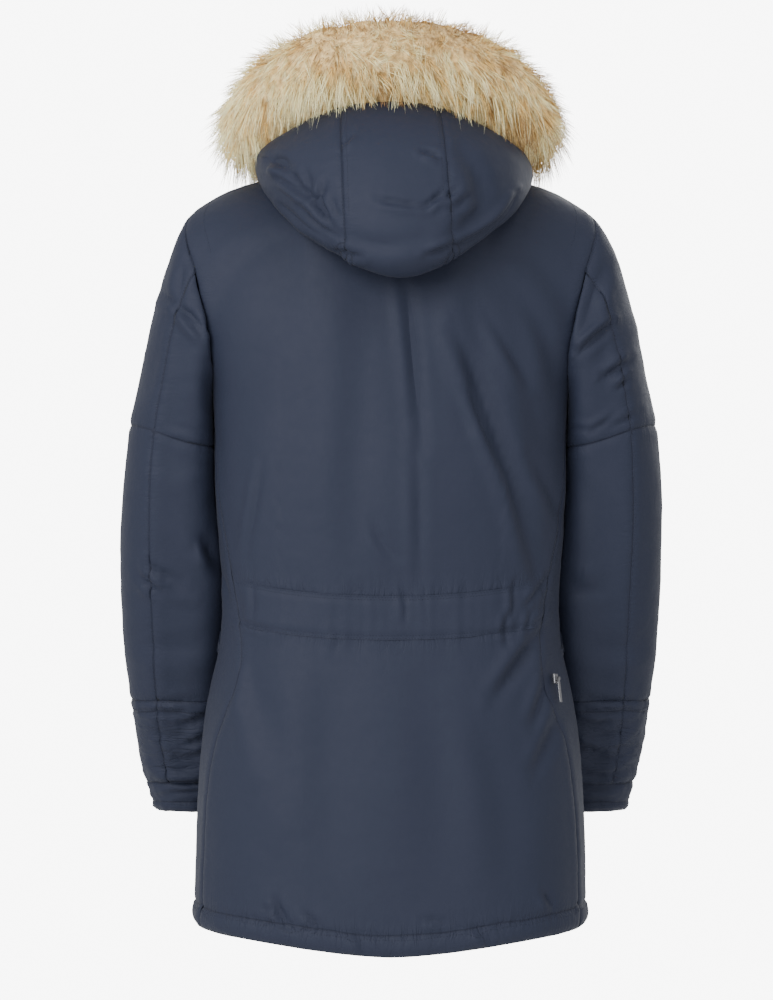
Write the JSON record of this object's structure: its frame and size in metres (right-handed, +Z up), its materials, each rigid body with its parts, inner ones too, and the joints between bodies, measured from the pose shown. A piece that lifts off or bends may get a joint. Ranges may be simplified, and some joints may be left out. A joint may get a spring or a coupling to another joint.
{
  "type": "fur trimmed parka",
  "caption": "Padded hip-length parka in dark cloth, held open as worn, hood down with a thick fur edge, waist channel on the back and zipped side pockets.",
  "frame": {"origin": "middle of the neck opening, level with the tops of the shoulders, where the coat hangs on its wearer", "axes": "+X to the wearer's left, +Y to the wearer's back, +Z up"},
  "size_m": [0.6098, 0.37, 1.0068],
  "materials": {
    "shell_cloth": "tightly woven cloth over light padding, faint satin sheen",
    "fur": "long fur, tan to cream with dark tips",
    "zip_tape": "matt woven zip tape",
    "zip_metal": "dull nickel"
  },
  "bodies": {
    "parka": {"back_panel": "shell_cloth", "collar": "shell_cloth", "cuff_left": "shell_cloth", "cuff_right": "shell_cloth", "front_left": "shell_cloth", "front_right": "shell_cloth", "front_slider": "zip_metal", "front_zip": "zip_tape", "fur_trim": "fur", "hood_centre": "shell_cloth", "hood_left": "shell_cloth", "hood_right": "shell_cloth", "pocket_left_slider": "zip_metal", "pocket_right_slider": "zip_metal", "pocket_zip_left": "zip_tape", "pocket_zip_right": "zip_tape", "sleeve_upper_outer_left": "shell_cloth", "sleeve_upper_outer_right": "shell_cloth", "sleeve_upper_under_left": "shell_cloth", "sleeve_upper_under_right": "shell_cloth", "sleeve_elbow_outer_left": "shell_cloth", "sleeve_elbow_outer_right": "shell_cloth", "sleeve_elbow_under_left": "shell_cloth", "sleeve_elbow_under_right": "shell_cloth", "sleeve_lower_outer_left": "shell_cloth", "sleeve_lower_outer_right": "shell_cloth", "sleeve_lower_under_left": "shell_cloth", "sleeve_lower_under_right": "shell_cloth", "waist_channel": "shell_cloth"},
    "front_pull": {"front_tab": "zip_metal"},
    "pocket_left_pull": {"pocket_left_tab": "zip_metal"},
    "pocket_right_pull": {"pocket_right_tab": "zip_metal"}
  },
  "joints": [
    {"name": "front_tab_swing", "type": "hinge", "parent": "parka", "child": "front_pull", "pos_m": [0, -0.1012, 0.01952], "axis": [-1, 0, 0], "range_deg": [0, 165]},
    {"name": "pocket_left_tab_swing", "type": "hinge", "parent": "parka", "child": "pocket_left_pull", "pos_m": [0.16793, -0.09538, -0.44065], "axis": [-0.5129, -0.8515, -0.1094], "range_deg": [0, 165]},
    {"name": "pocket_right_tab_swing", "type": "hinge", "parent": "parka", "child": "pocket_right_pull", "pos_m": [-0.18243, 0.09462, -0.54148], "axis": [0.6285, 0.7704, 0.1074], "range_deg": [0, 165]}
  ]
}
